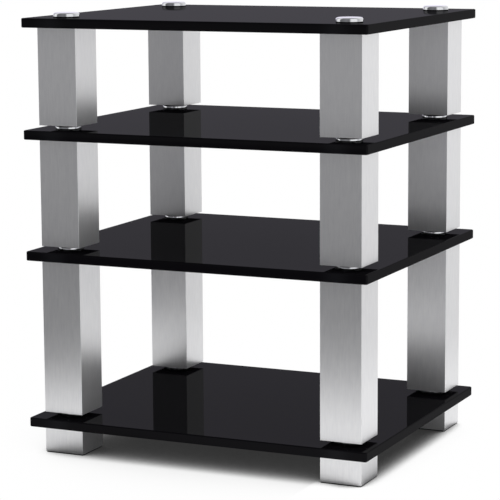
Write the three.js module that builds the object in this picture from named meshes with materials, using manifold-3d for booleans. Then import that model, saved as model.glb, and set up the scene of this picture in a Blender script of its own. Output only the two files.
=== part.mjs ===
// Four-shelf audio equipment rack: glass shelves on square aluminium posts.
// Millimetres, +Z up. The origin is on the floor, under the middle of the rack.
// The front looks along -Y, and +X is to the right when seen from the front.
import * as THREE from 'three';
import { mergeVertices } from 'three/addons/utils/BufferGeometryUtils.js';
import Module from 'manifold-3d';

// Glass shelves
const shelfWidth = 640;
const shelfDepth = 540;
const glassThickness = 16.5;
const shelfCornerRadius = 4;
const glassArris = 1;

// Column axes, measured in from the shelf's side and front edges
const columnInsetX = 56;
const columnInsetY = 61.5;

// Hollow square aluminium profile of the posts and feet
const profileSide = 74.5;
const profileEdgeRadius = 0.6;
const profileWall = 3;
const profileWeb = 2.6;
const bossRadius = 10;

// Cut lengths of the profile
const footLength = 47;
const lowerPostLength = 273;
const middlePostLength = 188;
const upperPostLength = 169;

// Polished couplings and caps
const studRadius = 5;
const studEngagement = 20;
const discRadius = 23;
const couplingDiscHeight = 6.8;
const capDiscHeight = 8;
const discEdgeRadius = 2.6;

// Flanged plastic bushes in the glass holes
const bushFlangeRadius = 20;
const bushFlangeThickness = 0.8;
const bushWall = 1.8;
const bushSetback = 1;

// Push-in floor pads
const padPlateThickness = 2;
const padInset = 1.2;
const padLugSide = 11;
const padLugHeight = 12;

// Clearances: between stacked flat faces, round a stud, in the glass and in the profile
const seatGap = 0.1;
const studClearance = 0.3;
const bushClearance = 0.4;
const padLugClearance = 0.3;

// How far every cut runs past the faces that it opens
const cutOverrun = 1;

// Facets of the round and rounded forms
const discSegments = 24;
const boreSegments = 12;
const bushSegments = 12;
const shelfCornerSegments = 2;
const discEdgeSegments = 2;
const profileEdgeSegments = 1;
const bossCornerSegments = 2;

// Worked out from the sizes above
const tappedBoreRadius = studRadius + studClearance;
const bushBoreRadius = studRadius + studClearance;
const bushSleeveRadius = bushBoreRadius + bushWall;
const glassHoleRadius = bushSleeveRadius + bushClearance;
const columnX = shelfWidth / 2 - columnInsetX;
const columnY = shelfDepth / 2 - columnInsetY;
const underGlass = seatGap + bushFlangeThickness + seatGap;
const lowerStudLength = seatGap + glassThickness + underGlass + studEngagement;
const upperStudLength = seatGap + studEngagement;

// The four columns
const corners = [
  { corner: 'front_left', x: -columnX, y: -columnY },
  { corner: 'front_right', x: columnX, y: -columnY },
  { corner: 'rear_left', x: -columnX, y: columnY },
  { corner: 'rear_right', x: columnX, y: columnY },
];

const finishes = {
  glass: { color: '#0b0b0c', roughness: 0.06, metalness: 0 },
  aluminium: { color: '#bdbec0', roughness: 0.34, metalness: 1 },
  chrome: { color: '#e4e5e6', roughness: 0.06, metalness: 1 },
  nylon: { color: '#1b1b1c', roughness: 0.5, metalness: 0 },
  rubber: { color: '#161617', roughness: 0.8, metalness: 0 },
};
const materials = {};
for (const [name, finish] of Object.entries(finishes)) {
  materials[name] = new THREE.MeshStandardMaterial({ name, ...finish });
}

const group = new THREE.Group();

function place(name, geometry, finish, x, y, z) {
  const mesh = new THREE.Mesh(geometry, materials[finish]);
  mesh.name = name;
  mesh.position.set(x, y, z);
  group.add(mesh);
}

function squareOutline(width, depth, radius) {
  const x = width / 2 - radius;
  const y = depth / 2 - radius;
  const outline = new THREE.Shape();
  outline.absarc(x, -y, radius, -Math.PI / 2, 0, false);
  outline.absarc(x, y, radius, 0, Math.PI / 2, false);
  outline.absarc(-x, y, radius, Math.PI / 2, Math.PI, false);
  outline.absarc(-x, -y, radius, Math.PI, 1.5 * Math.PI, false);
  return outline;
}

function extruded(outline, depth, curveSegments) {
  return new THREE.ExtrudeGeometry(outline, { depth, curveSegments, bevelEnabled: false });
}

function turned(points, segments) {
  return new THREE.LatheGeometry(points, segments).rotateX(Math.PI / 2);
}

const wasm = await Module();
wasm.setup();

function solidOf(geometry) {
  const bare = geometry.clone();
  bare.deleteAttribute('normal');
  bare.deleteAttribute('uv');
  const merged = mergeVertices(bare);
  return new wasm.Manifold(new wasm.Mesh({
    numProp: 3,
    vertProperties: merged.attributes.position.array,
    triVerts: new Uint32Array(merged.index.array),
  }));
}

function geometryOf(solid) {
  const mesh = solid.getMesh();
  const indexed = new THREE.BufferGeometry();
  indexed.setAttribute('position', new THREE.BufferAttribute(mesh.vertProperties, 3));
  indexed.setIndex(new THREE.BufferAttribute(mesh.triVerts, 1));
  const geometry = indexed.toNonIndexed();
  geometry.computeVertexNormals();
  return geometry;
}

// What a drill and its countersink take out of a pane that lies on zero
function glassHoleCutter() {
  const flare = glassArris + cutOverrun;
  return turned([
    new THREE.Vector2(0, -cutOverrun),
    new THREE.Vector2(glassHoleRadius + flare, -cutOverrun),
    new THREE.Vector2(glassHoleRadius, glassArris),
    new THREE.Vector2(glassHoleRadius, glassThickness - glassArris),
    new THREE.Vector2(glassHoleRadius + flare, glassThickness + cutOverrun),
    new THREE.Vector2(0, glassThickness + cutOverrun),
  ], boreSegments);
}

// One pane: a rounded slab with a ground arris on its edges and on its four holes
function shelfGeometry() {
  const outline = squareOutline(shelfWidth, shelfDepth, shelfCornerRadius);
  const slab = new THREE.ExtrudeGeometry(outline, {
    depth: glassThickness - 2 * glassArris,
    curveSegments: shelfCornerSegments,
    bevelThickness: glassArris,
    bevelSize: glassArris,
    bevelOffset: -glassArris,
    bevelSegments: 1,
  });
  let pane = solidOf(slab.translate(0, 0, glassArris));
  for (const { x, y } of corners) {
    pane = pane.subtract(solidOf(glassHoleCutter().translate(x, y, 0)));
  }
  return geometryOf(pane);
}

// Outline of the pocket between two webs, the walls and the boss
function pocketOutline() {
  const inner = profileSide / 2 - profileWall;
  const web = profileWeb / 2;
  const bossTurn = Math.asin(web / bossRadius);
  const outline = new THREE.Shape();
  outline.moveTo(inner, web);
  outline.lineTo(inner, inner);
  outline.lineTo(web, inner);
  outline.absarc(0, 0, bossRadius, Math.PI / 2 - bossTurn, bossTurn, true);
  return outline;
}

// A cut of the square profile: outer wall, four webs and a bored boss
function profileGeometry(length) {
  const outline = squareOutline(profileSide, profileSide, profileEdgeRadius);
  const cutLength = length + 2 * cutOverrun;
  let profile = solidOf(extruded(outline, length, profileEdgeSegments));
  for (let turn = 0; turn < 4; turn += 1) {
    const pocket = extruded(pocketOutline(), cutLength, bossCornerSegments);
    pocket.rotateZ((turn * Math.PI) / 2).translate(0, 0, -cutOverrun);
    profile = profile.subtract(solidOf(pocket));
  }
  const bore = new THREE.CylinderGeometry(tappedBoreRadius, tappedBoreRadius, cutLength, boreSegments);
  bore.rotateX(Math.PI / 2).translate(0, 0, length / 2);
  return geometryOf(profile.subtract(solidOf(bore)));
}

// Side of a disc from its lower face up to its flat top, with a rounded upper edge
function discSide(height) {
  const points = [new THREE.Vector2(discRadius, 0)];
  for (let i = 0; i <= discEdgeSegments; i += 1) {
    const angle = (Math.PI / 2) * (i / discEdgeSegments);
    points.push(new THREE.Vector2(
      discRadius - discEdgeRadius + discEdgeRadius * Math.cos(angle),
      height - discEdgeRadius + discEdgeRadius * Math.sin(angle),
    ));
  }
  return points;
}

// A disc with a stud below it and another above it; zero is the disc's lower face
function couplingGeometry() {
  return turned([
    new THREE.Vector2(0, -lowerStudLength),
    new THREE.Vector2(studRadius, -lowerStudLength),
    new THREE.Vector2(studRadius, 0),
    ...discSide(couplingDiscHeight),
    new THREE.Vector2(studRadius, couplingDiscHeight),
    new THREE.Vector2(studRadius, couplingDiscHeight + upperStudLength),
    new THREE.Vector2(0, couplingDiscHeight + upperStudLength),
  ], discSegments);
}

// A disc with a stud below it only
function capGeometry() {
  return turned([
    new THREE.Vector2(0, -lowerStudLength),
    new THREE.Vector2(studRadius, -lowerStudLength),
    new THREE.Vector2(studRadius, 0),
    ...discSide(capDiscHeight),
    new THREE.Vector2(0, capDiscHeight),
  ], discSegments);
}

// A thin flange under the glass and a sleeve up in its hole; zero is the flange's lower face
function bushGeometry() {
  const sleeveTop = bushFlangeThickness + seatGap + glassThickness - bushSetback;
  return turned([
    new THREE.Vector2(bushBoreRadius, 0),
    new THREE.Vector2(bushFlangeRadius, 0),
    new THREE.Vector2(bushFlangeRadius, bushFlangeThickness),
    new THREE.Vector2(bushSleeveRadius, bushFlangeThickness),
    new THREE.Vector2(bushSleeveRadius, sleeveTop),
    new THREE.Vector2(bushBoreRadius, sleeveTop),
    new THREE.Vector2(bushBoreRadius, 0),
  ], bushSegments);
}

// A plate under the foot with four lugs that push into the corners of the profile
function padGeometry() {
  const plateSide = profileSide - 2 * padInset;
  const outline = squareOutline(plateSide, plateSide, profileEdgeRadius);
  let padSolid = solidOf(extruded(outline, padPlateThickness, profileEdgeSegments));
  const lugPlace = profileSide / 2 - profileWall - padLugClearance - padLugSide / 2;
  const lugTop = padPlateThickness + seatGap + padLugHeight;
  for (const x of [-lugPlace, lugPlace]) {
    for (const y of [-lugPlace, lugPlace]) {
      const lug = new THREE.BoxGeometry(padLugSide, padLugSide, lugTop);
      padSolid = padSolid.add(solidOf(lug.translate(x, y, lugTop / 2)));
    }
  }
  return geometryOf(padSolid);
}

const levels = [
  { shelf: 'bottom', post: 'lower', postLength: lowerPostLength },
  { shelf: 'lower', post: 'middle', postLength: middlePostLength },
  { shelf: 'upper', post: 'upper', postLength: upperPostLength },
  { shelf: 'top' },
];

const shelf = shelfGeometry();
const foot = profileGeometry(footLength);
const pad = padGeometry();
const bush = bushGeometry();
const coupling = couplingGeometry();
const cap = capGeometry();

// The four columns stand on the floor and are stacked alike, from the pads upwards
let z = 0;
for (const { corner, x, y } of corners) {
  place(`floor_pad_${corner}`, pad, 'rubber', x, y, z);
}
z += padPlateThickness + seatGap;
for (const { corner, x, y } of corners) {
  place(`foot_${corner}`, foot, 'aluminium', x, y, z);
}
z += footLength;
for (const level of levels) {
  for (const { corner, x, y } of corners) {
    place(`bush_${level.shelf}_${corner}`, bush, 'nylon', x, y, z + seatGap);
  }
  z += underGlass;
  place(`shelf_${level.shelf}`, shelf, 'glass', 0, 0, z);
  z += glassThickness + seatGap;
  if (!level.post) {
    for (const { corner, x, y } of corners) {
      place(`cap_${corner}`, cap, 'chrome', x, y, z);
    }
    continue;
  }
  const post = profileGeometry(level.postLength);
  for (const { corner, x, y } of corners) {
    place(`coupling_${level.post}_${corner}`, coupling, 'chrome', x, y, z);
    place(`post_${level.post}_${corner}`, post, 'aluminium', x, y, z + couplingDiscHeight + seatGap);
  }
  z += couplingDiscHeight + seatGap + level.postLength;
}

export default group;
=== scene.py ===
# %% [markdown]
# # An audio equipment rack: black glass shelves on square aluminium posts
#
# The real rack is built like a tower. A short square foot carries a pane of glass, a
# polished coupling screws through the pane's corner into the foot, and the next post screws
# down onto that coupling. This is repeated three times, and plain caps close the top.
# Everything that shows is one of three finishes: dark glass, brushed aluminium or chrome.
# So the lesson is mostly about edges and reflections, and less about complicated shapes.

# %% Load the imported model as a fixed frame
import math
import bmesh
import bpy
from mathutils import Matrix, Vector


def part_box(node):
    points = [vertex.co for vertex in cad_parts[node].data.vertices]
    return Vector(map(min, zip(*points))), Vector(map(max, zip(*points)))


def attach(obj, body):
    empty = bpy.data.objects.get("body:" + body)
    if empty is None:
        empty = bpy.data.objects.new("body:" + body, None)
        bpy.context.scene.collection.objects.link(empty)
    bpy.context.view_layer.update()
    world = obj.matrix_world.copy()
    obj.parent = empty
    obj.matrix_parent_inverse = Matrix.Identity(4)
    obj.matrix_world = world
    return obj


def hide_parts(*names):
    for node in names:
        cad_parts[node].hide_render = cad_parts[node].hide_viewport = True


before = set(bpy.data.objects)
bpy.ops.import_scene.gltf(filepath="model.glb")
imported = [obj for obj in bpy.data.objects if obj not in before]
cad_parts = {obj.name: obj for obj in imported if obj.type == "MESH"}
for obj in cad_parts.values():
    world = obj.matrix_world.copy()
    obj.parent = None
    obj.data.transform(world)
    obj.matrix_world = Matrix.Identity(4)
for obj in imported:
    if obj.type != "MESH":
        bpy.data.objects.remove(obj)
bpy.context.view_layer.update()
print("nodes in the frame:", len(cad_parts))

# %% [markdown]
# ## Units and three small helpers
#
# The frame is in metres, and furniture is drawn in millimetres, so one constant turns one
# into the other. Finishes are written as the hex values a painter or a web page would use.
# Those are sRGB numbers, while the renderer adds up light in linear numbers, so one function
# does that conversion for every colour. The second helper adds a shader node, sets what is
# constant on it and links what feeds it, so a material reads as a short list of nodes. The
# third gives an empty material to build that list in.

# %% Helpers for units, colours and nodes
MM = 0.001


def linear(hex_colour):
    """Turn an sRGB hex colour into linear red, green, blue and alpha."""
    channels = [int(hex_colour[i:i + 2], 16) / 255 for i in (1, 3, 5)]
    return [c / 12.92 if c <= 0.04045 else ((c + 0.055) / 1.055) ** 2.4 for c in channels] + [1.0]


def add_node(tree, kind, settings=None, links=None):
    """Add a shader node with its constant settings and its incoming links."""
    node = tree.nodes.new("ShaderNode" + kind)
    for name, value in (settings or {}).items():
        if isinstance(name, int) or name in node.inputs:
            node.inputs[name].default_value = value
        else:
            setattr(node, name, value)
    for socket, source in (links or {}).items():
        tree.links.new(source, node.inputs[socket])
    return node


def start_material(name):
    """Make a material with an empty node tree."""
    material = bpy.data.materials.new(name)
    material.use_nodes = True
    material.node_tree.nodes.clear()
    return material, material.node_tree


print("mid grey in linear numbers:", round(linear("#808080")[0], 3))

# %% [markdown]
# ## The camera
#
# A product photo of furniture is taken from a few metres away with a long lens, so uprights
# stay nearly parallel. The view is from the front right, a little above the top shelf. The
# camera is placed like a studio one: by the point it looks at, the turn round the rack, the
# height angle, the distance, and a small roll because it was not quite level. The lens is
# given in pixels of the picture, which is how it is measured, and then in millimetres.

# %% Camera
AIM = Vector((-12.2, 0, 345.2)) * MM
TURN = math.radians(24.56)
HEIGHT_ANGLE = math.radians(9.145)
ROLL = math.radians(-0.35)
DISTANCE = 3874 * MM
PICTURE_PIXELS = 500
FOCAL_PIXELS = 2148.5

camera_data = bpy.data.cameras.new("camera")
camera_data.lens = camera_data.sensor_width * FOCAL_PIXELS / PICTURE_PIXELS
camera = bpy.data.objects.new("camera", camera_data)
bpy.context.scene.collection.objects.link(camera)
bpy.context.scene.camera = camera

level = Matrix.Rotation(TURN, 4, "Z") @ Matrix.Rotation(math.pi / 2 - HEIGHT_ANGLE, 4, "X")
camera.matrix_world = (Matrix.Translation(AIM) @ level @ Matrix.Rotation(ROLL, 4, "Z")
                       @ Matrix.Translation((0, 0, DISTANCE)))
print("lens in mm:", round(camera_data.lens, 1))

# %% [markdown]
# ## The studio
#
# Glass and metal have hardly any look of their own: they show the room. In the studio of
# this kind of photo the background is white, two soft panels stand left and right in front,
# and the space between them, where the camera is, stays dark. That dark middle is what turns
# the posts' front faces grey and gives the chrome its dark band. Lamps could do it, but
# their edges would show in the glass, so the room is painted into the world as a ramp that
# runs once round the rack. The angle comes from the direction's two level coordinates. The
# light from behind on the left is a touch cooler, and the glass takes its tint from there.

# %% Colours of the room, by direction
scene = bpy.context.scene
scene.view_settings.view_transform = "Standard"
world = bpy.data.worlds.new("studio")
world.use_nodes = True
scene.world = world
room = world.node_tree
room.nodes.clear()

# Degrees round the rack from straight in front, to the right, and the room's colour there
ROOM_STOPS = [
    (-180, "#F4F4F4"), (-168, "#F4F0FF"), (-130, "#F4F0FF"), (-108, "#8A8A8B"), (-97, "#FFFFFF"),
    (-68, "#FFFFFF"), (-58, "#656567"), (-5, "#7F7F81"), (22, "#737375"), (38, "#FFFFFF"),
    (84, "#FFFFFF"), (98, "#C0C0C2"), (135, "#ECECEC"), (180, "#F4F4F4"),
]

direction = add_node(room, "TexCoord").outputs["Generated"]
axes = add_node(room, "SeparateXYZ", links={"Vector": direction})
backwards = add_node(room, "Math", {"operation": "MULTIPLY", 1: -1}, {0: axes.outputs["Y"]})
angle = add_node(room, "Math", {"operation": "ARCTAN2"},
                 {0: axes.outputs["X"], 1: backwards.outputs[0]})
around = add_node(room, "MapRange", {"From Min": -math.pi, "From Max": math.pi},
                  {"Value": angle.outputs[0]})
ramp = add_node(room, "ValToRGB", links={"Fac": around.outputs[0]})
stops = ramp.color_ramp.elements
while len(stops) < len(ROOM_STOPS):
    stops.new(0.5)
for stop, (degrees, colour) in zip(stops, ROOM_STOPS):
    stop.position = degrees / 360 + 0.5
    stop.color = linear(colour)
print("stops round the room:", len(stops))

# %% [markdown]
# The ramp says nothing about height, so three things are mixed in by the height of the
# direction, which runs from -1 straight down to 1 straight up. High overhead hangs a grey
# panel, which only flat tops find when they are seen from above. Just below the horizon the
# far floor is lit, and there the ramp's greys get paler: a power below one does that and
# leaves white alone. Further down lies the near ground, and a power above one makes the
# greys darker.

# %% Height in the room
OVERHEAD = "#A8A8AA"
OVERHEAD_FROM = 0.7
OVERHEAD_TO = 0.95
FAR_FLOOR_FROM = 0.02
FAR_FLOOR_TO = -0.05
FAR_FLOOR_POWER = 0.34
NEAR_GROUND_FROM = -0.09
NEAR_GROUND_TO = -0.17
NEAR_GROUND_POWER = 5.5

overhead = add_node(room, "MapRange", {"interpolation_type": "SMOOTHSTEP",
                                       "From Min": OVERHEAD_FROM, "From Max": OVERHEAD_TO},
                    {"Value": axes.outputs["Z"]})
with_top = add_node(room, "Mix", {"data_type": "RGBA", 7: linear(OVERHEAD)},
                    {0: overhead.outputs[0], 6: ramp.outputs["Color"]})
far_floor = add_node(room, "MapRange", {"interpolation_type": "SMOOTHSTEP",
                                        "From Min": FAR_FLOOR_FROM, "From Max": FAR_FLOOR_TO,
                                        "To Min": 1.0, "To Max": FAR_FLOOR_POWER},
                     {"Value": axes.outputs["Z"]})
near_ground = add_node(room, "MapRange", {"interpolation_type": "SMOOTHSTEP",
                                          "From Min": NEAR_GROUND_FROM, "From Max": NEAR_GROUND_TO,
                                          "To Min": 1.0, "To Max": NEAR_GROUND_POWER},
                       {"Value": axes.outputs["Z"]})
low_power = add_node(room, "Math", {"operation": "MULTIPLY"},
                     {0: far_floor.outputs[0], 1: near_ground.outputs[0]})
with_ground = add_node(room, "Gamma", links={"Color": with_top.outputs[2],
                                             "Gamma": low_power.outputs[0]})
print("power in the far floor:", FAR_FLOOR_POWER)
print("power in the near ground:", round(FAR_FLOOR_POWER * NEAR_GROUND_POWER, 2))

# %% [markdown]
# What the camera sees directly is the background of the picture. It skips all of this and
# gets white at strength one, while everything else is lit by the painted room.

# %% White for the camera, the room for the rest
room_light = add_node(room, "Background", links={"Color": with_ground.outputs[0]})
white = add_node(room, "Background", {"Color": (1, 1, 1, 1)})
room_camera_ray = add_node(room, "LightPath").outputs["Is Camera Ray"]
seen_room = add_node(room, "MixShader", links={0: room_camera_ray, 1: room_light.outputs[0],
                                               2: white.outputs[0]})
add_node(room, "OutputWorld", links={"Surface": seen_room.outputs[0]})
print("nodes in the room:", len(room.nodes))

# %% [markdown]
# ## The floor
#
# The rack stands on a white floor that runs into the white background without a line. A
# wide disc is enough for it, because past its rim the background is just as white.

# %% Floor disc
FLOOR_RADIUS = 1250 * MM
FLOOR_SEGMENTS = 96

floor_mesh = bpy.data.meshes.new("studio_floor")
floor_bm = bmesh.new()
bmesh.ops.create_circle(floor_bm, cap_ends=True, radius=FLOOR_RADIUS, segments=FLOOR_SEGMENTS)
floor_bm.to_mesh(floor_mesh)
floor_bm.free()
studio_floor = bpy.data.objects.new("studio_floor", floor_mesh)
scene.collection.objects.link(studio_floor)
print("floor across in metres:", 2 * FLOOR_RADIUS)

# %% [markdown]
# A floor of white paint would need strong lamps to come out white, and they would burn out
# the metal. So the floor paper glows as white as the background, and its shadow is worked
# out. An ambient occlusion node gives the share of the sky that a point can see. The share
# is raised to a power, multiplied by a gain and put through a falling exponential curve,
# and what that leaves is taken off white. The curve never quite ends, so the shadow has no
# rim. At the right-hand feet the shadow is crisper, so there both numbers are larger.

# %% Floor shadow, as the camera sees it
SKY_DISTANCE = 700 * MM
SKY_SAMPLES = 24
SHADE_POWER = 2.7
SHADE_GAIN = 13
CRISP_FROM = 215 * MM
CRISP_TO = 265 * MM
CRISP_POWER = 5.5
CRISP_GAIN = 170

paper, floor_tree = start_material("white studio paper")
paper.cycles.emission_sampling = "NONE"
sky = add_node(floor_tree, "AmbientOcclusion", {"samples": SKY_SAMPLES, "Distance": SKY_DISTANCE})
floor_place = add_node(floor_tree, "TexCoord").outputs["Object"]
across = add_node(floor_tree, "SeparateXYZ", links={"Vector": floor_place}).outputs["X"]
seen_power = add_node(floor_tree, "MapRange", {"From Min": CRISP_FROM, "From Max": CRISP_TO,
                                               "To Min": SHADE_POWER, "To Max": CRISP_POWER},
                      {"Value": across})
seen_gain = add_node(floor_tree, "MapRange", {"From Min": CRISP_FROM, "From Max": CRISP_TO,
                                              "To Min": -SHADE_GAIN, "To Max": -CRISP_GAIN},
                     {"Value": across})
print("gain of the shadow, left and right:", SHADE_GAIN, CRISP_GAIN)

# %% [markdown]
# Feet and lower posts mirror the floor close by, which gives them their gradient between
# white and dark. The photo's metal shows a floor that turns white sooner than the one the
# camera sees, and sooner still on the right. So rays that don't come from the camera get a
# power and a gain of their own, and the Light Path node picks which pair counts.

# %% Floor shadow, as the metal sees it
METAL_POWER = 10
METAL_FROM = -200 * MM
METAL_TO = 150 * MM
METAL_GAIN_LEFT = 22
METAL_GAIN_RIGHT = 400

metal_gain = add_node(floor_tree, "MapRange", {"From Min": METAL_FROM, "From Max": METAL_TO,
                                               "To Min": -METAL_GAIN_LEFT,
                                               "To Max": -METAL_GAIN_RIGHT}, {"Value": across})
floor_camera_ray = add_node(floor_tree, "LightPath").outputs["Is Camera Ray"]
floor_power = add_node(floor_tree, "MapRange", {"To Min": METAL_POWER},
                       {"Value": floor_camera_ray, "To Max": seen_power.outputs[0]})
floor_gain = add_node(floor_tree, "MapRange", links={"Value": floor_camera_ray,
                                                     "To Min": metal_gain.outputs[0],
                                                     "To Max": seen_gain.outputs[0]})
print("gain seen by the metal, left and right:", METAL_GAIN_LEFT, METAL_GAIN_RIGHT)

# %% [markdown]
# Now the curve itself. One thing is left: in a reflection the disc's rim would show as a
# line. So for every ray but the camera's the paper turns clear towards the rim, and the
# painted room takes over.

# %% Floor paper: curve, glow and clear rim
SHADE_LEAST = 0.03
LIT_RADIUS = 620 * MM

open_sky = add_node(floor_tree, "Math", {"operation": "POWER"},
                    {0: sky.outputs["AO"], 1: floor_power.outputs[0]})
falling = add_node(floor_tree, "Math", {"operation": "MULTIPLY"},
                   {0: open_sky.outputs[0], 1: floor_gain.outputs[0]})
missing = add_node(floor_tree, "Math", {"operation": "EXPONENT"}, {0: falling.outputs[0]})
brightness = add_node(floor_tree, "Math", {"operation": "MULTIPLY_ADD", 1: SHADE_LEAST - 1, 2: 1.0},
                      {0: missing.outputs[0]})
glow = add_node(floor_tree, "Emission", links={"Color": brightness.outputs[0]})
reach = add_node(floor_tree, "VectorMath", {"operation": "LENGTH"}, {0: floor_place})
fade = add_node(floor_tree, "MapRange", {"interpolation_type": "SMOOTHSTEP",
                                         "From Min": LIT_RADIUS, "From Max": FLOOR_RADIUS},
                {"Value": reach.outputs["Value"]})
other_ray = add_node(floor_tree, "Math", {"operation": "SUBTRACT", 0: 1.0}, {1: floor_camera_ray})
faded = add_node(floor_tree, "Math", {"operation": "MULTIPLY"},
                 {0: fade.outputs[0], 1: other_ray.outputs[0]})
clear = add_node(floor_tree, "BsdfTransparent")
floor_surface = add_node(floor_tree, "MixShader", links={0: faded.outputs[0], 1: glow.outputs[0],
                                                         2: clear.outputs[0]})
add_node(floor_tree, "OutputMaterial", links={"Surface": floor_surface.outputs[0]})
floor_mesh.materials.append(paper)
print("nodes in the floor paper:", len(floor_tree.nodes))

# %% [markdown]
# ## Tinted glass
#
# The shelves are float glass tinted so dark that it looks black, toughened, with polished
# edges. In the toughening oven the panes ride on rollers, which leaves long, very shallow
# waves in them. They bend reflections slightly, and a bump far longer than it is deep is
# enough to draw them.

# %% Tinted glass: waves in the polish
GLASS_WAVE = 260 * MM
GLASS_WAVE_DETAIL = 1.0
GLASS_WAVE_STRENGTH = 0.05
GLASS_WAVE_DEPTH = 1 * MM

glass, glass_tree = start_material("tinted float glass, polished")
glass_place = add_node(glass_tree, "TexCoord").outputs["Object"]
wave = add_node(glass_tree, "TexNoise", {"Scale": 1 / GLASS_WAVE, "Detail": GLASS_WAVE_DETAIL},
                {"Vector": glass_place})
waviness = add_node(glass_tree, "Bump", {"Strength": GLASS_WAVE_STRENGTH,
                                         "Distance": GLASS_WAVE_DEPTH}, {"Height": wave.outputs[0]})
print("glass waves in mm:", round(GLASS_WAVE / MM))

# %% [markdown]
# The body is painted a trace paler where a drilled hole lies just behind the front or rear
# edge. That is a painted glow: it stands in for light from the hole and its stud showing
# through the thinner tint there. The distance from the holes is measured along the shelf's
# width, and only faces that look to the front or the back take the painted glow.

# %% Tinted glass: body, with a painted glow at the holes
GLASS_BODY = "#111013"
# Painted glow: this paler body colour near the holes stands in for light showing through the edge
GLASS_PAINTED_HOLE_GLOW = "#1B1B1E"
HOLE_GLOW_WIDTH = 36 * MM
FACING_LEAST = 0.7

cap_low, cap_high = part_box("cap_front_right")
hole_x = (cap_low.x + cap_high.x) / 2
glass_axes = add_node(glass_tree, "SeparateXYZ", links={"Vector": glass_place})
from_middle = add_node(glass_tree, "Math", {"operation": "ABSOLUTE"}, {0: glass_axes.outputs["X"]})
past_hole = add_node(glass_tree, "Math", {"operation": "SUBTRACT", 1: hole_x},
                     {0: from_middle.outputs[0]})
off_hole = add_node(glass_tree, "Math", {"operation": "ABSOLUTE"}, {0: past_hole.outputs[0]})
near_hole = add_node(glass_tree, "MapRange", {"interpolation_type": "SMOOTHSTEP", "From Min": 0,
                                              "From Max": HOLE_GLOW_WIDTH, "To Min": 1.0,
                                              "To Max": 0.0}, {"Value": off_hole.outputs[0]})
normal = add_node(glass_tree, "NewGeometry").outputs["Normal"]
normal_axes = add_node(glass_tree, "SeparateXYZ", links={"Vector": normal})
facing = add_node(glass_tree, "Math", {"operation": "ABSOLUTE"}, {0: normal_axes.outputs["Y"]})
on_edge = add_node(glass_tree, "Math", {"operation": "GREATER_THAN", 1: FACING_LEAST},
                   {0: facing.outputs[0]})
# Mask of the painted glow: near a hole, and only on faces that look to the front or the back
painted_glow_mask = add_node(glass_tree, "Math", {"operation": "MULTIPLY"},
                 {0: near_hole.outputs[0], 1: on_edge.outputs[0]})
# Body colour of the glass, with the painted glow mixed in near the holes
body_and_hole_glow = add_node(glass_tree, "Mix", {"data_type": "RGBA", 6: linear(GLASS_BODY),
                                    7: linear(GLASS_PAINTED_HOLE_GLOW)}, {0: painted_glow_mask.outputs[0]})
print("holes from the middle in mm:", round(hole_x / MM))

# %% [markdown]
# Bare glass mirrors about 4% head on and nearly everything at a glancing angle. The photo
# shows the same rise towards glancing angles, but only about a twelfth as strong. A lower
# IOR would change the rise too, so the gloss is a coat layer with the glass's own IOR at
# that weight, over a body that has no gloss of its own.

# %% Tinted glass: the gloss as a coat
GLASS_IOR = 1.5
GLASS_GLOSS = 0.086
GLASS_GLOSS_ROUGHNESS = 0.02
GLASS_BODY_ROUGHNESS = 0.2

glass_surface = add_node(glass_tree, "BsdfPrincipled", {
    "Roughness": GLASS_BODY_ROUGHNESS, "IOR": GLASS_IOR, "Specular IOR Level": 0.0,
    "Coat Weight": GLASS_GLOSS, "Coat Roughness": GLASS_GLOSS_ROUGHNESS, "Coat IOR": GLASS_IOR,
}, {"Base Color": body_and_hole_glow.outputs[2], "Coat Normal": waviness.outputs[0]})
add_node(glass_tree, "OutputMaterial", links={"Surface": glass_surface.outputs[0]})
print("share of real glass's gloss:", GLASS_GLOSS)

# %% [markdown]
# ## Brushed aluminium
#
# The posts are extruded, brushed lengthwise with an abrasive belt and clear anodised. The
# belt leaves fine upright scratches. Real ones are about 0.3 mm wide, finer than a pixel
# here, so they are drawn about six times coarser, with a second, wider set of faint bands,
# which is what the eye notices from a step away. Both are one noise pattern, stretched
# upwards. Their mix moves the tone and the roughness by a few steps only.

# %% Aluminium: streaks, tone and roughness
ALUMINIUM_PALE = "#F0F0F1"
ALUMINIUM_DEEP = "#E6E6E8"
SCRATCH_WIDTH = 1.8 * MM
SCRATCH_DETAIL = 1.5
BAND_WIDTH = 7 * MM
BAND_DETAIL = 2.0
STREAK_LENGTH = 24 * MM
BAND_SHARE = 0.45
STREAK_LOW = 0.3
STREAK_HIGH = 0.7
BRUSHED_ROUGHNESS_LEAST = 0.28
BRUSHED_ROUGHNESS_MOST = 0.315

aluminium, aluminium_tree = start_material("aluminium, brushed and anodised")
aluminium_place = add_node(aluminium_tree, "TexCoord").outputs["Object"]
streaks = []
for width, detail in ((SCRATCH_WIDTH, SCRATCH_DETAIL), (BAND_WIDTH, BAND_DETAIL)):
    stretch = add_node(aluminium_tree, "Mapping", {"Scale": (1 / width, 1 / width, 1 / STREAK_LENGTH)},
                       {"Vector": aluminium_place})
    streaks.append(add_node(aluminium_tree, "TexNoise", {"Scale": 1.0, "Detail": detail},
                            {"Vector": stretch.outputs[0]}).outputs[0])
scratches, bands = streaks
both = add_node(aluminium_tree, "Mix", {"data_type": "FLOAT", "Factor": BAND_SHARE},
                {2: scratches, 3: bands})
tone = add_node(aluminium_tree, "ValToRGB", links={"Fac": both.outputs[0]})
deep_stop, pale_stop = tone.color_ramp.elements
deep_stop.position = STREAK_LOW
deep_stop.color = linear(ALUMINIUM_DEEP)
pale_stop.position = STREAK_HIGH
pale_stop.color = linear(ALUMINIUM_PALE)
brushed_roughness = add_node(aluminium_tree, "MapRange", {
    "From Min": STREAK_LOW, "From Max": STREAK_HIGH,
    "To Min": BRUSHED_ROUGHNESS_LEAST, "To Max": BRUSHED_ROUGHNESS_MOST}, {"Value": both.outputs[0]})
print("scratches and bands drawn, mm wide:", SCRATCH_WIDTH / MM, BAND_WIDTH / MM)

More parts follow.
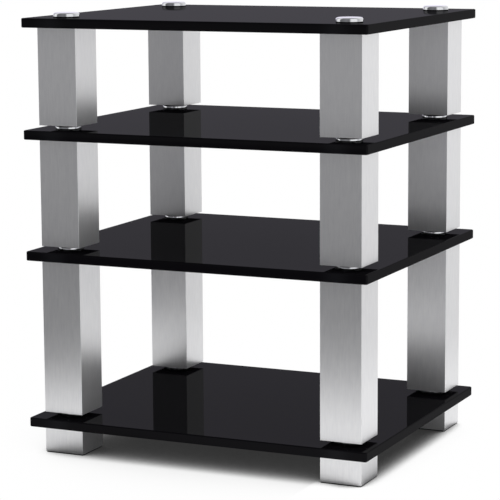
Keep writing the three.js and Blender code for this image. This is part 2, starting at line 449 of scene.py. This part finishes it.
# %% [markdown]
# Upright scratches spread light sideways much more than up and down. That is anisotropy,
# with the tangent running round the post. The clear oxide on top scatters a part of the
# light like a thin haze, so the metal is about four fifths mirror and the rest matt.

# %% Aluminium: grooves and the spread of the light
GROOVE_STRENGTH = 0.03
GROOVE_DEPTH = 0.1 * MM
METAL_UNDER_HAZE = 0.78
BRUSHED_SPREAD = 0.55

grooves = add_node(aluminium_tree, "Bump", {"Strength": GROOVE_STRENGTH, "Distance": GROOVE_DEPTH},
                   {"Height": scratches})
round_post = add_node(aluminium_tree, "Tangent", {"direction_type": "RADIAL", "axis": "Z"})
aluminium_surface = add_node(aluminium_tree, "BsdfPrincipled", {
    "Metallic": METAL_UNDER_HAZE, "Anisotropic": BRUSHED_SPREAD,
}, {"Base Color": tone.outputs[0], "Roughness": brushed_roughness.outputs[0],
    "Normal": grooves.outputs[0], "Tangent": round_post.outputs[0]})
add_node(aluminium_tree, "OutputMaterial", links={"Surface": aluminium_surface.outputs[0]})
print("mirror share of the brushed metal:", METAL_UNDER_HAZE)

# %% [markdown]
# ## Polished chrome
#
# Couplings and caps are turned steel, polished and chrome plated: a nearly perfect mirror,
# very slightly blue next to the aluminium. Polishing never leaves it quite even, so the
# roughness drifts a little over some millimetres, which keeps highlights from looking cut
# out.

# %% Steel, polished and chromed
CHROME = "#DFE0E3"
POLISH_PATCH = 9 * MM
POLISH_DETAIL = 2.0
CHROME_ROUGHNESS_LEAST = 0.05
CHROME_ROUGHNESS_MOST = 0.11

chrome, chrome_tree = start_material("steel, polished and chrome plated")
chrome_place = add_node(chrome_tree, "TexCoord").outputs["Object"]
patch = add_node(chrome_tree, "TexNoise", {"Scale": 1 / POLISH_PATCH, "Detail": POLISH_DETAIL},
                 {"Vector": chrome_place})
polish = add_node(chrome_tree, "MapRange", {"To Min": CHROME_ROUGHNESS_LEAST,
                                            "To Max": CHROME_ROUGHNESS_MOST},
                  {"Value": patch.outputs[0]})
chrome_surface = add_node(chrome_tree, "BsdfPrincipled", {"Base Color": linear(CHROME), "Metallic": 1.0},
                          {"Roughness": polish.outputs[0]})
add_node(chrome_tree, "OutputMaterial", links={"Surface": chrome_surface.outputs[0]})
print("chrome roughness:", CHROME_ROUGHNESS_LEAST, "to", CHROME_ROUGHNESS_MOST)

# %% [markdown]
# ## Moulded nylon and soft plastic
#
# The bushes in the glass holes and the pads under the feet are black mouldings. They hardly
# show, but each still has its own surface: nylon has a fine, even spark-eroded grain, and
# the softer pad plastic is duller and coarser. Real grain of this kind is 0.15 to 0.3 mm
# across, so both are drawn about five times coarser. One function makes both, and the call
# says in what they differ.

# %% Nylon and pad plastic
MOULD_DETAIL = 3.0
MOULD_RELIEF = 0.4


def moulded(name, dark, pale, grain, roughness, depth):
    """Make a moulded plastic with a spark-eroded grain."""
    material, tree = start_material(name)
    place = add_node(tree, "TexCoord").outputs["Object"]
    pits = add_node(tree, "TexNoise", {"Scale": 1 / grain, "Detail": MOULD_DETAIL}, {"Vector": place})
    colour = add_node(tree, "Mix", {"data_type": "RGBA", 6: linear(dark), 7: linear(pale)},
                      {0: pits.outputs[0]})
    relief = add_node(tree, "Bump", {"Strength": MOULD_RELIEF, "Distance": depth},
                      {"Height": pits.outputs[0]})
    surface = add_node(tree, "BsdfPrincipled", {"Roughness": roughness},
                       {"Base Color": colour.outputs[2], "Normal": relief.outputs[0]})
    add_node(tree, "OutputMaterial", links={"Surface": surface.outputs[0]})
    return material


nylon = moulded("nylon, moulded", dark="#161617", pale="#202022",
                grain=0.8 * MM, roughness=0.45, depth=0.03 * MM)
pad_plastic = moulded("soft plastic, moulded", dark="#111112", pale="#1B1B1C",
                      grain=1.4 * MM, roughness=0.7, depth=0.08 * MM)
print("mouldings:", nylon.name, "and", pad_plastic.name)

# %% [markdown]
# ## From a flat outline to a piece
#
# Panes and posts are both prisms with holes, so they share their making. Draw the outline
# and the holes as loops of edges, fill between them, extrude the fill, and bevel the edges
# where the flat ends meet the sides. A Boolean modifier could cut the holes too, but it
# leaves ragged triangles that a bevel can't follow. The rounded outline is a grid of one
# face, with its corners bevelled and its face taken out again.

# %% Helpers for prisms with holes
RIM_LEAST = 0.5


def rounded_rectangle(bm, width, depth, radius, segments):
    """Draw a loop of edges: a rectangle with rounded corners."""
    made = bmesh.ops.create_grid(bm, x_segments=1, y_segments=1, size=0.5)["verts"]
    bmesh.ops.scale(bm, vec=(width, depth, 1), verts=made)
    bmesh.ops.bevel(bm, geom=made, offset=radius, segments=segments, profile=0.5,
                    affect="VERTICES", material=-1)
    bmesh.ops.delete(bm, geom=bm.faces[:], context="FACES_ONLY")


def prism(bm, height, edge_radius, edge_segments):
    """Fill between the loops, extrude the fill, and round the rims of both ends."""
    bmesh.ops.triangle_fill(bm, use_beauty=True, use_dissolve=False, edges=bm.edges[:])
    raised = bmesh.ops.extrude_face_region(bm, geom=bm.faces[:])["geom"]
    raised_verts = [part for part in raised if isinstance(part, bmesh.types.BMVert)]
    bmesh.ops.translate(bm, vec=(0, 0, height), verts=raised_verts)
    bmesh.ops.recalc_face_normals(bm, faces=bm.faces[:])
    # A rim edge has a level face on one side and an upright one on the other
    rims = [edge for edge in bm.edges if len(edge.link_faces) == 2
            and abs(abs(edge.link_faces[0].normal.z) - abs(edge.link_faces[1].normal.z)) > RIM_LEAST]
    bmesh.ops.bevel(bm, geom=rims, offset=edge_radius, segments=edge_segments, profile=0.5,
                    affect="EDGES", material=-1)


trial = bmesh.new()
rounded_rectangle(trial, 40 * MM, 40 * MM, 4 * MM, 2)
prism(trial, 10 * MM, 1 * MM, 1)
print("faces of a trial block:", len(trial.faces))
trial.free()

# %% [markdown]
# Every piece ends the same way. Shading is smooth, but edges steeper than a crease angle
# stay sharp, and a Weighted Normal modifier lets the large flat faces win over the narrow
# rounded ones beside them. Without it, a flat side would look slightly pillowed in its
# reflections. Then the piece is tied to the frame: it rides on the only body, stands for
# its node, and takes that node's finish.

# %% Helper that finishes a piece
CREASE = math.radians(50)
LARGE_FACES_WIN = 100


def finish_piece(bm, name, material, node):
    """Turn a bmesh into a shaded piece that stands for a node of the frame."""
    for face in bm.faces:
        face.smooth = True
    for edge in bm.edges:
        edge.smooth = edge.calc_face_angle(0) < CREASE
    mesh = bpy.data.meshes.new(name)
    bm.to_mesh(mesh)
    bm.free()
    mesh.materials.append(material)
    piece = bpy.data.objects.new(name, mesh)
    scene.collection.objects.link(piece)
    even = piece.modifiers.new("even normals", "WEIGHTED_NORMAL")
    even.weight = LARGE_FACES_WIN
    even.keep_sharp = True
    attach(piece, "root")
    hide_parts(node)
    return piece


print("edges stay sharp from degrees:", round(math.degrees(CREASE)))

# %% [markdown]
# ## Glass shelves
#
# Each pane is 16.5 mm thick with corners rounded to 4 mm. Its edges are ground, polished,
# and rounded off by two millimetres where they meet the faces, which keeps them from
# chipping and cutting. Glaziers call that an arris. The four holes have one too. The holes
# lie on the columns' axes, which the caps give.

# %% Shelves
CORNERS = ["front_left", "front_right", "rear_left", "rear_right"]
SHELF_CORNER = 4 * MM
SHELF_CORNER_SEGMENTS = 10
GLASS_HOLE = 7.5 * MM
GLASS_HOLE_SEGMENTS = 40
GLASS_ARRIS = 2 * MM
GLASS_ARRIS_SEGMENTS = 3


def glass_shelf(node):
    """Make one pane with its four holes."""
    low_corner, high_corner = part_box(node)
    size = high_corner - low_corner
    bm = bmesh.new()
    rounded_rectangle(bm, size.x, size.y, SHELF_CORNER, SHELF_CORNER_SEGMENTS)
    for corner in CORNERS:
        cap_low, cap_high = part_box(f"cap_{corner}")
        axis = (cap_low + cap_high) / 2
        bmesh.ops.create_circle(bm, cap_ends=False, radius=GLASS_HOLE, segments=GLASS_HOLE_SEGMENTS,
                                matrix=Matrix.Translation((axis.x, axis.y, 0)))
    prism(bm, size.z, GLASS_ARRIS, GLASS_ARRIS_SEGMENTS)
    bmesh.ops.translate(bm, vec=(0, 0, low_corner.z), verts=bm.verts[:])
    return finish_piece(bm, f"glass_{node}", glass, node)


for level_name in ("bottom", "lower", "upper", "top"):
    shelf = glass_shelf(f"shelf_{level_name}")
    print(shelf.name, "faces:", len(shelf.data.polygons))

# %% [markdown]
# ## Posts and feet
#
# All sixteen are cuts of one hollow extrusion. Outside it is a square with edges only just
# broken. Inside, four webs hold a round boss in the middle, which takes the couplings'
# threads. The four hollows between the webs are one outline, turned four times. The saw
# leaves a sharp end that is deburred to a quarter of a millimetre.

# %% Outline of the extrusion's hollows
PROFILE_WALL = 3 * MM
PROFILE_WEB = 2.6 * MM
BOSS_RADIUS = 10 * MM
BOSS_STEPS = 8


def pocket(bm, side, quarter):
    """Draw one of the four hollows between two webs, the walls and the boss."""
    web = PROFILE_WEB / 2
    wall = side / 2 - PROFILE_WALL
    web_turn = math.asin(web / BOSS_RADIUS)
    points = [(wall, web), (wall, wall), (web, wall)]
    for step in range(BOSS_STEPS + 1):
        turn = math.pi / 2 - web_turn - (math.pi / 2 - 2 * web_turn) * step / BOSS_STEPS
        points.append((BOSS_RADIUS * math.cos(turn), BOSS_RADIUS * math.sin(turn)))
    loop = [bm.verts.new((x, y, 0)) for x, y in points]
    for here, there in zip(loop, loop[1:] + loop[:1]):
        bm.edges.new((here, there))
    bmesh.ops.rotate(bm, cent=(0, 0, 0), matrix=Matrix.Rotation(quarter * math.pi / 2, 3, "Z"),
                     verts=loop)


print("walls of the extrusion in mm:", PROFILE_WALL / MM)

# %% [markdown]
# A cut is then the outer square, the four hollows and the bore of the boss, filled and
# extruded to the height of its node. Sixteen separate meshes are fine here, because each has
# only a few hundred faces and each must sit on its own place in the frame.

# %% Posts and feet
PROFILE_EDGE = 0.6 * MM
PROFILE_EDGE_SEGMENTS = 4
BORE_RADIUS = 5.3 * MM
BORE_SEGMENTS = 32
SAWN_EDGE = 0.25 * MM
SAWN_EDGE_SEGMENTS = 2


def profile_cut(node):
    """Make one post or foot: a length of the extrusion."""
    low_corner, high_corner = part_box(node)
    size = high_corner - low_corner
    middle = (low_corner + high_corner) / 2
    bm = bmesh.new()
    rounded_rectangle(bm, size.x, size.y, PROFILE_EDGE, PROFILE_EDGE_SEGMENTS)
    for quarter in range(4):
        pocket(bm, size.x, quarter)
    bmesh.ops.create_circle(bm, cap_ends=False, radius=BORE_RADIUS, segments=BORE_SEGMENTS)
    prism(bm, size.z, SAWN_EDGE, SAWN_EDGE_SEGMENTS)
    bmesh.ops.translate(bm, vec=(middle.x, middle.y, low_corner.z), verts=bm.verts[:])
    return finish_piece(bm, f"brushed_{node}", aluminium, node)


for corner in CORNERS:
    profile_cut(f"foot_{corner}")
    for level_name in ("lower", "middle", "upper"):
        post = profile_cut(f"post_{level_name}_{corner}")
    print(corner, "column: a foot and three posts of", len(post.data.polygons), "faces")

# %% [markdown]
# ## Couplings and caps
#
# These are turned on a lathe, so they are spun here too: half of the outline, carried once
# round the column's axis. The side of a disc leans in by a few degrees and its top rises a
# little towards the middle, so both catch the room's light. The studs' threads are drawn as
# plain rings of the right pitch, because they are hidden in the posts. The shoulder is
# where the crown of a coupling ends at its upper stud.

# %% Outline of a coupling or a cap
THREAD_CREST = 5 * MM
THREAD_ROOT = 4.4 * MM
THREAD_PITCH = 1.5 * MM
SHOULDER_RADIUS = 6 * MM
DISC_TAPER = math.radians(4)
DISC_CROWN = 0.3 * MM


def threaded(start, end):
    """List the outline points of a thread between two heights."""
    turns = max(1, int(abs(end - start) / THREAD_PITCH))
    pitch = (end - start) / turns
    points = []
    for turn in range(turns):
        points.append((THREAD_ROOT, start + pitch * turn))
        points.append((THREAD_CREST, start + pitch * (turn + 0.5)))
    return points + [(THREAD_ROOT, end)]


def turned_outline(low, disc_low, disc_high, high, radius, upper_radius):
    """List radius and height up one side of the piece, from its axis back to its axis."""
    outline = [(0, low)] + threaded(low, disc_low)
    outline += [(radius, disc_low), (upper_radius, disc_high - DISC_CROWN)]
    if high > disc_high:
        outline += [(SHOULDER_RADIUS, disc_high)]
        return outline + threaded(disc_high, high) + [(0, high)]
    return outline + [(0, disc_high)]


print("taper of a disc in degrees:", round(math.degrees(DISC_TAPER), 1))

# %% [markdown]
# Both rims of a disc are rounded with a bevel after the spin, which is easier to judge than
# an arc typed into the outline. The upper rim is rounded broadly. On the caps that gives the
# soft bright ring, and on the couplings the dark line under the post, because there the
# curve mirrors the post's shaded end. The lower rim is only broken.

# %% Couplings and caps
COUPLING_EDGE = 3.6 * MM
COUPLING_UNDER_EDGE = 0.7 * MM
CAP_EDGE = 3.4 * MM
CAP_UNDER_EDGE = 1.2 * MM
DISC_EDGE_SEGMENTS = 8
SPIN_STEPS = 72
MERGE_DISTANCE = 0.001 * MM
RIM_TOLERANCE = 0.01 * MM
SEAT_GAP = 0.1 * MM


def turned_piece(node, disc_low, disc_high, upper_edge, under_edge):
    """Make one coupling or cap, spun round its column's axis."""
    low_corner, high_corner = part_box(node)
    middle = (low_corner + high_corner) / 2
    radius = (high_corner.x - low_corner.x) / 2
    upper_radius = radius - (disc_high - disc_low) * math.tan(DISC_TAPER)
    outline = turned_outline(low_corner.z, disc_low, disc_high, high_corner.z, radius, upper_radius)
    bm = bmesh.new()
    half = [bm.verts.new((r, 0, z)) for r, z in outline]
    strip = [bm.edges.new(pair) for pair in zip(half, half[1:])]
    bmesh.ops.spin(bm, geom=half + strip, cent=(0, 0, 0), axis=(0, 0, 1), dvec=(0, 0, 0),
                   angle=2 * math.pi, steps=SPIN_STEPS, use_merge=True)
    bmesh.ops.remove_doubles(bm, verts=bm.verts[:], dist=MERGE_DISTANCE)
    bmesh.ops.recalc_face_normals(bm, faces=bm.faces[:])
    for rim_radius, rim_height, offset in ((upper_radius, disc_high - DISC_CROWN, upper_edge),
                                           (radius, disc_low, under_edge)):
        rim = [edge for edge in bm.edges
               if all(abs(v.co.z - rim_height) < RIM_TOLERANCE
                      and abs(v.co.xy.length - rim_radius) < RIM_TOLERANCE for v in edge.verts)]
        bmesh.ops.bevel(bm, geom=rim, offset=offset, segments=DISC_EDGE_SEGMENTS, profile=0.5,
                        affect="EDGES", material=-1)
    bmesh.ops.translate(bm, vec=(middle.x, middle.y, 0), verts=bm.verts[:])
    return finish_piece(bm, f"chrome_{node}", chrome, node)


for corner in CORNERS:
    for level_name, shelf_below in (("lower", "bottom"), ("middle", "lower"), ("upper", "upper")):
        disc_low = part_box(f"shelf_{shelf_below}")[1].z + SEAT_GAP
        disc_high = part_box(f"post_{level_name}_{corner}")[0].z - SEAT_GAP
        coupling = turned_piece(f"coupling_{level_name}_{corner}", disc_low, disc_high,
                                COUPLING_EDGE, COUPLING_UNDER_EDGE)
    disc_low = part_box("shelf_top")[1].z + SEAT_GAP
    cap = turned_piece(f"cap_{corner}", disc_low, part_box(f"cap_{corner}")[1].z,
                       CAP_EDGE, CAP_UNDER_EDGE)
    print(corner, "coupling faces:", len(coupling.data.polygons), "cap:", len(cap.data.polygons))

# %% [markdown]
# ## Bushes and pads
#
# These keep the shape that the frame already has and only get their finish. Giving a new
# material to a slot leaves the mesh alone.

# %% Finish of the bushes and pads
finished = 0
for name, node_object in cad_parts.items():
    if name.startswith("bush_"):
        node_object.data.materials[0] = nylon
        finished += 1
    if name.startswith("floor_pad_"):
        node_object.data.materials[0] = pad_plastic
        finished += 1
print("bushes and pads finished:", finished)
